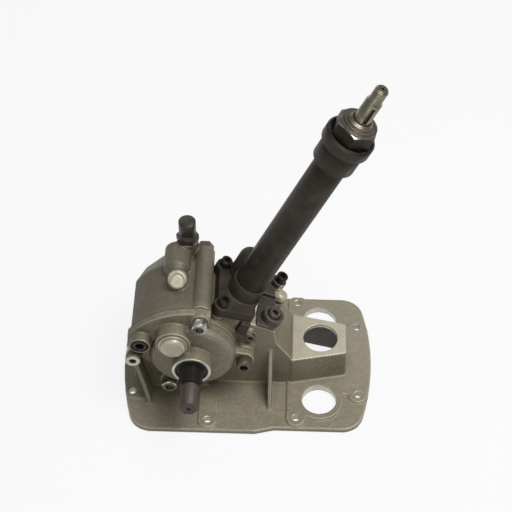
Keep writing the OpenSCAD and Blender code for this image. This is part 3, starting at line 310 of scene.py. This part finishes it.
MAT = {
    # Aluminium: dark, middle and light tone, or base and stain
    "cast": cast_paint("cast_aluminium", (0.142, 0.122, 0.079), (0.206, 0.182, 0.128),
                       (0.37, 0.333, 0.248), 0.25, painted_shade_and_light=True),
    # Painted shade: a darker copy of the casting, for the inside of the tower's hollow
    "inside": cast_paint("cast_inside", (0.064, 0.056, 0.037), (0.090, 0.081, 0.058),
                         (0.14, 0.126, 0.096), 0.2),
    "machined": machined_paint("machined_aluminium", (0.58, 0.55, 0.47), (0.40, 0.37, 0.30),
                               0.75, 0.26, 0.45),
    "cut_face": machined_paint("cut_aluminium", (0.505, 0.46, 0.356), (0.38, 0.343, 0.259), 0.4, 0.36, 0.55),
    "plug": machined_paint("plug_aluminium", (0.47, 0.425, 0.33), (0.33, 0.298, 0.226), 0.4, 0.32, 0.5),
    "filler": plug_paint("pale_plug", (0.53, 0.482, 0.36), (0.36, 0.325, 0.232), "filler_plug", FILLER_RIM),
    # Iron and enamel
    "bar": cast_paint("dark_iron", (0.032, 0.027, 0.019), (0.054, 0.046, 0.034), (0.11, 0.095, 0.072), 0.15),
    "black": black_paint("black_enamel", (0.0070, 0.0056, 0.0043), (0.015, 0.0123, 0.0098),
                         (0.10, 0.083, 0.066), 0.38, 0.56),
    "foot": black_paint("dusty_enamel", (0.026, 0.0213, 0.0167), (0.080, 0.067, 0.053),
                        (0.09, 0.075, 0.06), 0.40, 0.60),
    # Screws and small fittings
    "zinc": machined_paint("zinc_plate", (0.62, 0.61, 0.56), (0.42, 0.42, 0.38), 1.0, 0.20, 0.38, 900),
    # Also painted shade, on the cover's right screw
    "dull_screw": machined_paint("dark_dull_steel", (0.115, 0.098, 0.076), (0.062, 0.053, 0.042),
                                 0.6, 0.34, 0.52, 900),
    # Also painted shade, on the cover's left screw and its recess
    "black_and_shade": machined_paint("black_oxide_and_shade", (0.024, 0.021, 0.018), (0.014, 0.012, 0.010),
                                  0.5, 0.32, 0.5, 900),
    "breather": turned_paint("oxide_steel", (0.045, 0.038, 0.030), (0.075, 0.062, 0.048),
                             0.5, *BREATHER_MARKS, 0.34, 0.5),
    # Steel
    "phosphate": turned_paint("phosphated_steel", (0.072, 0.057, 0.046), (0.048, 0.038, 0.030),
                              0.35, *SHAFT_MARKS, 0.50, 0.66),
    "spline": turned_paint("oiled_steel", (0.030, 0.026, 0.022), (0.018, 0.016, 0.013),
                           0.5, *SHAFT_MARKS, 0.34, 0.5),
    "steel": turned_paint("turned_steel", (0.31, 0.284, 0.212), (0.17, 0.154, 0.11),
                          1.0, *COLUMN_MARKS, TURNED_PITCH, 0.22, 0.40),
    "thread": turned_paint("threaded_steel", (0.34, 0.317, 0.238), (0.17, 0.157, 0.115),
                           1.0, *COLUMN_MARKS, THREAD_PITCH, 0.24, 0.40),
    "cap": turned_paint("dark_turned_steel", (0.205, 0.183, 0.14), (0.11, 0.097, 0.074),
                        0.9, *COLUMN_MARKS, CAP_PITCH, 0.30, 0.44),
    "ground": machined_paint("ground_steel", (0.55, 0.55, 0.54), (0.42, 0.42, 0.41), 1.0, 0.16, 0.28, 1200),
    # Bushes, seal and gaskets
    "bronze": machined_paint("bush_bronze", (0.55, 0.36, 0.14), (0.40, 0.25, 0.09), 1.0, 0.25, 0.42),
    "rubber": plain_paint("seal_rubber", (0.012, 0.012, 0.012), (0.022, 0.021, 0.020),
                          0.45, 0.65, 900, 0.0001),
    "gasket": plain_paint("gasket_sheet", (0.085, 0.075, 0.055), (0.14, 0.125, 0.10),
                          0.75, 0.95, 1500, 0.0001),
}


# Cast pieces: the solid's own shape with rounded edges and filled corners
def evaluated_mesh(ob):
    bpy.context.view_layer.update()
    graph = bpy.context.evaluated_depsgraph_get()
    return bpy.data.meshes.new_from_object(ob.evaluated_get(graph))


def add_weld(ob):
    weld = ob.modifiers.new("weld", "WELD")
    weld.merge_threshold = 1e-6


def cast_copy(node, voxel, rounds, share):
    """A copy of a CAD node, remeshed and smoothed so that its edges are those of a casting."""
    mesh = NODE[node].data.copy()
    mesh.materials.clear()
    ob = bpy.data.objects.new(node + "_cast", mesh)
    bpy.context.scene.collection.objects.link(ob)
    add_weld(ob)
    grid = ob.modifiers.new("grid", "REMESH")
    grid.mode = "VOXEL"
    grid.voxel_size = voxel
    soft = ob.modifiers.new("soft", "SMOOTH")
    soft.factor = 0.5
    soft.iterations = rounds
    thin = ob.modifiers.new("thin", "DECIMATE")
    thin.ratio = share
    made = evaluated_mesh(ob)
    ob.modifiers.clear()
    ob.data = made
    made.polygons.foreach_set("use_smooth", [True] * len(made.polygons))
    return ob


def faces_of(mesh):
    """Centres and normals of a mesh's faces, as arrays."""
    n = len(mesh.polygons)
    centre, normal = np.zeros(3 * n), np.zeros(3 * n)
    mesh.polygons.foreach_get("center", centre)
    mesh.polygons.foreach_get("normal", normal)
    return centre.reshape(-1, 3), normal.reshape(-1, 3)


def paint_faces(mesh, extra):
    """Adds further materials to a mesh, each on the faces where its mask is true."""
    index = np.zeros(len(mesh.polygons), np.int32)
    for name, mask in extra:
        mesh.materials.append(MAT[name])
        index[mask] = len(mesh.materials) - 1
    mesh.polygons.foreach_set("material_index", index)


def near(centre, x, y, radius):
    """Faces within a radius of an upright axis."""
    return np.hypot(centre[:, 0] - x, centre[:, 1] - y) < radius


def near_across(centre, x, z, radius):
    """Faces within a radius of an axis along Y."""
    return np.hypot(centre[:, 0] - x, centre[:, 2] - z) < radius


def up_column(centre):
    """Distance up the column's axis."""
    return (centre - np.array(COLUMN_FOOT)) @ np.array(COLUMN_UP)


def out_column(centre):
    """Distance to the right of the column's axis, square to it."""
    return (centre - np.array(COLUMN_FOOT)) @ np.array(COLUMN_OUT)


def off_column(centre):
    """Distance from the column's axis."""
    return np.hypot(out_column(centre), centre[:, 1])


# Where the castings are cut, dark or hollow: places from the part's source, with a margin for rounded edges
LEVER_X, LEVER_Y, LEVER_R = 0.116, 0.081, 0.0278
BORE_TILT = 0.75
PLATE_HOLES = [(-0.1825, 0.073), (-0.0595, 0.1255), (0.0795, 0.118), (0.178, 0.069)]
PLATE_HOLE_R = 0.0064
EAR_Y, EAR_X, EAR_Z = -0.0908, -0.15, 0.09
WEB_OUT, WEB_Y, WEB_UP = (0.0205, 0.0292), 0.0125, 0.066
TOWER_TOP = 0.068
TOWER_LEFT, TOWER_FLAT, TOWER_ROOF = 0.07, (-0.0009, 0.001), 0.0072
HOLLOW_R, HOLLOW_Z = 0.058, 0.001
UNDERSIDE_Z = 0.0006
CLIP_X, CLIP_Z, CLIP_R, CLIP_Y = 0.005, 0.128, 0.0085, -0.035
RING_Y, RING_R = -0.107, 0.034
WELL_X, WELL_Z, WELL_R = -0.16296, 0.14496, 0.0139
KNOB_OUT, KNOB_Y, KNOB_R, KNOB_UP = 0.066, 0.020, 0.0112, 0.0815


def dress_housing():
    ob = cast_copy("housing", voxel=1.3 * MM, rounds=5, share=0.4)
    ob.data.materials.append(MAT["cast"])
    centre, normal = faces_of(ob.data)
    x, y, z = centre.T
    faces_up, faces_down = normal[:, 2] > 0.95, normal[:, 2] < -0.9
    faces_front, faces_column = normal[:, 1] < -0.8, normal @ np.array(COLUMN_UP) > 0.35
    bores = np.zeros(len(centre), bool)
    for side in (-1, 0, 1):
        bores |= near(centre, LEVER_X, side * LEVER_Y, LEVER_R) & (np.abs(normal[:, 2]) < BORE_TILT)
    for hole_x, hole_y in PLATE_HOLES:
        for side in (-1, 1):
            bores |= near(centre, hole_x, side * hole_y, PLATE_HOLE_R)
    bores |= faces_front & (y < EAR_Y) & (x < EAR_X) & (z > EAR_Z)
    out = out_column(centre)
    web = (out > WEB_OUT[0]) & (out < WEB_OUT[1]) & (y < WEB_Y) & (up_column(centre) > WEB_UP) & faces_column
    flat = (z > TOWER_TOP + TOWER_FLAT[0]) & (z < TOWER_TOP + TOWER_FLAT[1]) & (x > TOWER_LEFT) & faces_up
    under = (z < UNDERSIDE_Z) & faces_down
    clip = near_across(centre, CLIP_X, CLIP_Z, CLIP_R) & (y < CLIP_Y)
    # Painted shade: the inside of the tower's hollow takes the darker copy of the casting
    inward = (normal[:, 0] * (x - LEVER_X) + normal[:, 1] * y < 0) & (normal[:, 2] < 0.5)
    hollow = near(centre, LEVER_X, 0, HOLLOW_R) & inward & (z > HOLLOW_Z) & (z < TOWER_TOP - TOWER_ROOF)
    paint_faces(ob.data, [("machined", bores), ("cut_face", flat | under | web), ("bar", clip),
                          ("inside", hollow & ~bores)])
    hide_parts("housing")
    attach(ob, "housing")


def dress_cover():
    ob = cast_copy("sector_cover", voxel=1.1 * MM, rounds=5, share=0.5)
    ob.data.materials.append(MAT["cast"])
    centre, _ = faces_of(ob.data)
    ring = (centre[:, 1] < RING_Y) & near_across(centre, SHAFT_X, SHAFT_Z, RING_R)
    # Painted shade: the recess round the left screw is painted black
    well = near_across(centre, WELL_X, WELL_Z, WELL_R)
    paint_faces(ob.data, [("machined", ring), ("black_and_shade", well)])
    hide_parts("sector_cover")
    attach(ob, "housing")


def dress_bar():
    ob = cast_copy("seat_bar", voxel=0.9 * MM, rounds=5, share=0.5)
    ob.data.materials.append(MAT["bar"])
    centre, _ = faces_of(ob.data)
    knob = np.hypot(out_column(centre) - KNOB_OUT, centre[:, 1] - KNOB_Y) < KNOB_R
    paint_faces(ob.data, [("cut_face", knob & (up_column(centre) > KNOB_UP))])
    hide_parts("seat_bar")
    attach(ob, "housing")


def dress_foot():
    ob = cast_copy("column_flange", voxel=1.0 * MM, rounds=6, share=0.5)
    ob.data.materials.append(MAT["foot"])
    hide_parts("column_flange")
    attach(ob, "housing")


dress_housing()
dress_cover()
dress_bar()
dress_foot()

# Pieces that keep the CAD solid: material, and the width of the bevel on each edge in millimetres
KEPT = {
    "cover_gasket": ("gasket", 0.0), "cover_screws": ("zinc", 0.5), "through_nut": ("dull_screw", 0.6),
    "cover_plug": ("plug", 0.8), "front_bush": ("bronze", 0.3), "rear_bush": ("bronze", 0.3),
    "sector_seal": ("rubber", 0.25), "rear_cap": ("steel", 0.5), "adjuster_screw": ("steel", 0.3),
    "adjuster_nut": ("zinc", 0.5), "filler_plug": ("filler", 0.8), "breather": ("breather", 0.6),
    "flange_gasket": ("gasket", 0.0), "flange_bolts": ("black_and_shade", 0.4), "column_tube": ("black", 0.5),
    "lower_collar": ("black", 0.6), "bearing_cup": ("black", 0.6), "column_cap": ("cap", 0.5),
    "cup_circlip": ("ground", 0.2), "bearing_retainer": ("steel", 0.4), "lower_outer_race": ("ground", 0.3),
    "upper_outer_race": ("ground", 0.3), "cup_outer_race": ("ground", 0.3), "worm_shaft": ("ground", 0.0),
    "steering_shaft": ("steel", 0.4), "coupling_pin": ("ground", 0.3), "lower_inner_race": ("ground", 0.3),
    "upper_inner_race": ("ground", 0.3), "cup_inner_race": ("ground", 0.3), "lower_balls": ("ground", 0.0),
    "upper_balls": ("ground", 0.0), "cup_balls": ("ground", 0.0), "ball_nut": ("phosphate", 0.0),
    "nut_balls": ("ground", 0.0), "return_tubes": ("zinc", 0.0), "tube_clamp": ("zinc", 0.3),
    "clamp_screw": ("zinc", 0.2), "sector_shaft": ("phosphate", 0.3),
}
BEVEL_ANGLE = math.radians(38)

for name, (paint, bevel) in KEPT.items():
    ob = NODE[name]
    ob.data.materials.clear()
    ob.data.materials.append(MAT[paint])
    if bevel:
        add_weld(ob)
        edge = ob.modifiers.new("edge", "BEVEL")
        edge.width = bevel * MM
        edge.segments = 2
        edge.limit_method = "ANGLE"
        edge.angle_limit = BEVEL_ANGLE
        edge.harden_normals = True

# Places on the kept pieces that have a paint of their own
DULL_SCREW_X, BLACK_SCREW_X = SHAFT_X + 0.045, SHAFT_X - 0.06
BAR_OUT = 0.035
SPLINE_Y = (-0.1425, -0.1)
THREAD_UP = 0.5382
KEYWAY_UP, KEYWAY_R = (0.499, 0.5305), 0.0119
CAP_FLATS_UP, CAP_FLATS_R, CAP_FLATS_TILT = 0.4872, 0.0272, 0.2


def paint_screws():
    """Of the cover's screws, the one on the right is dull and dark, and the one on the left black: both
    darkened as painted shade.
    """
    mesh = NODE["cover_screws"].data
    x = faces_of(mesh)[0][:, 0]
    paint_faces(mesh, [("dull_screw", x > DULL_SCREW_X), ("black_and_shade", x < BLACK_SCREW_X)])


def paint_bolts():
    """The bar's front bolt has the colour of the bar."""
    mesh = NODE["flange_bolts"].data
    centre, _ = faces_of(mesh)
    paint_faces(mesh, [("bar", (out_column(centre) > BAR_OUT) & (centre[:, 1] < 0))])


def paint_cross_shaft():
    """The splined stretch is darker with oil."""
    mesh = NODE["sector_shaft"].data
    y = faces_of(mesh)[0][:, 1]
    paint_faces(mesh, [("spline", (y > SPLINE_Y[0]) & (y < SPLINE_Y[1]))])


def paint_steering_shaft():
    """Thread marks at the top, and a dull keyway."""
    mesh = NODE["steering_shaft"].data
    centre, _ = faces_of(mesh)
    up = up_column(centre)
    keyway = (up > KEYWAY_UP[0]) & (up < KEYWAY_UP[1]) & (off_column(centre) < KEYWAY_R)
    paint_faces(mesh, [("thread", up > THREAD_UP), ("dull_screw", keyway)])


def paint_cap():
    """The cap's flats are enamelled, its turned top is bare."""
    mesh = NODE["column_cap"].data
    centre, normal = faces_of(mesh)
    flats = (off_column(centre) > CAP_FLATS_R) & (up_column(centre) < CAP_FLATS_UP)
    flats &= np.abs(normal @ np.array(COLUMN_UP)) < CAP_FLATS_TILT
    paint_faces(mesh, [("black", flats)])


paint_screws()
paint_bolts()
paint_cross_shaft()
paint_steering_shaft()
paint_cap()

# Camera, fitted to the plate's edges, its holes and the column; focal length and frame in pixels
AIM = Vector((6.008, 220.732, 12.0)) * MM
ELEVATION, AZIMUTH, ROLL = math.radians(48.503), math.radians(1.56), math.radians(0.333)
DISTANCE, FOCAL, FRAME = 2679.46 * MM, 1555.03, 512.0
SENSOR = 36.0


def photo_camera():
    back = Vector((math.sin(AZIMUTH) * math.cos(ELEVATION), -math.cos(AZIMUTH) * math.cos(ELEVATION),
                   math.sin(ELEVATION)))
    right = Vector((math.cos(AZIMUTH), math.sin(AZIMUTH), 0.0))
    up = back.cross(right)
    across = right * math.cos(ROLL) + up * math.sin(ROLL)
    upward = up * math.cos(ROLL) - right * math.sin(ROLL)
    place = AIM + back * DISTANCE
    data = bpy.data.cameras.new("photo_camera")
    data.sensor_width = SENSOR
    data.lens = FOCAL / FRAME * SENSOR
    data.clip_end = 50.0
    ob = bpy.data.objects.new("photo_camera", data)
    bpy.context.scene.collection.objects.link(ob)
    ob.matrix_world = Matrix((
        (across.x, upward.x, back.x, place.x), (across.y, upward.y, back.y, place.y),
        (across.z, upward.z, back.z, place.z), (0, 0, 0, 1)))
    bpy.context.scene.camera = ob


photo_camera()

# Pale floor and soft studio light
FLOOR_SIZE, FLOOR_Z, FLOOR_GLOW = 6.0, -0.0006, 0.86
LAMP_AIM = Vector((0.0, 0.0, 0.12))


def floor():
    mesh = bpy.data.meshes.new("floor")
    corners = [(-1, -1), (1, -1), (1, 1), (-1, 1)]
    mesh.from_pydata([(FLOOR_SIZE * x, FLOOR_SIZE * y, FLOOR_Z) for x, y in corners], [], [(0, 1, 2, 3)])
    ob = bpy.data.objects.new("floor", mesh)
    bpy.context.scene.collection.objects.link(ob)
    mat = bpy.data.materials.new("pale_floor")
    mat.use_nodes = True
    tree = mat.node_tree
    bsdf, out = tree.nodes["Principled BSDF"], tree.nodes["Material Output"]
    bsdf.inputs["Base Color"].default_value = (0.58, 0.58, 0.575, 1)
    bsdf.inputs["Roughness"].default_value = 0.9
    glow = tree.nodes.new("ShaderNodeEmission")
    path = tree.nodes.new("ShaderNodeLightPath")
    seen = tree.nodes.new("ShaderNodeMath")
    seen.operation = "MAXIMUM"
    part = tree.nodes.new("ShaderNodeMath")
    part.operation = "MULTIPLY"
    part.inputs[1].default_value = FLOOR_GLOW
    blend = tree.nodes.new("ShaderNodeMixShader")
    tree.links.new(path.outputs["Is Camera Ray"], seen.inputs[0])
    tree.links.new(path.outputs["Is Glossy Ray"], seen.inputs[1])
    tree.links.new(seen.outputs[0], part.inputs[0])
    tree.links.new(part.outputs[0], blend.inputs[0])
    tree.links.new(bsdf.outputs[0], blend.inputs[1])
    tree.links.new(glow.outputs[0], blend.inputs[2])
    tree.links.new(blend.outputs[0], out.inputs["Surface"])
    mesh.materials.append(mat)


def lamp(name, place, size, power):
    """A round area lamp that faces the part."""
    data = bpy.data.lights.new(name, "AREA")
    data.shape = "DISK"
    data.size = size
    data.energy = power
    ob = bpy.data.objects.new(name, data)
    bpy.context.scene.collection.objects.link(ob)
    ob.location = place
    ob.rotation_euler = (LAMP_AIM - Vector(place)).to_track_quat("-Z", "Y").to_euler()


def world():
    """Soft light all round, and plain white behind the floor's edge."""
    scene = bpy.context.scene
    scene.world = bpy.data.worlds.new("studio")
    scene.world.use_nodes = True
    tree = scene.world.node_tree
    soft = tree.nodes["Background"]
    soft.inputs["Color"].default_value = (0.96, 0.98, 1.0, 1)
    soft.inputs["Strength"].default_value = 0.31
    white = tree.nodes.new("ShaderNodeBackground")
    white.inputs["Color"].default_value = (1, 1, 1, 1)
    path = tree.nodes.new("ShaderNodeLightPath")
    blend = tree.nodes.new("ShaderNodeMixShader")
    tree.links.new(path.outputs["Is Camera Ray"], blend.inputs[0])
    tree.links.new(soft.outputs[0], blend.inputs[1])
    tree.links.new(white.outputs[0], blend.inputs[2])
    tree.links.new(blend.outputs[0], tree.nodes["World Output"].inputs["Surface"])
    scene.view_settings.view_transform = "Standard"


floor()
lamp("key", (0.75, -0.3, 2.1), 1.3, 46.0)
lamp("front", (-0.5, -1.8, 1.1), 1.4, 5.0)
lamp("back", (-0.6, 1.9, 0.9), 1.6, 6.0)
world()
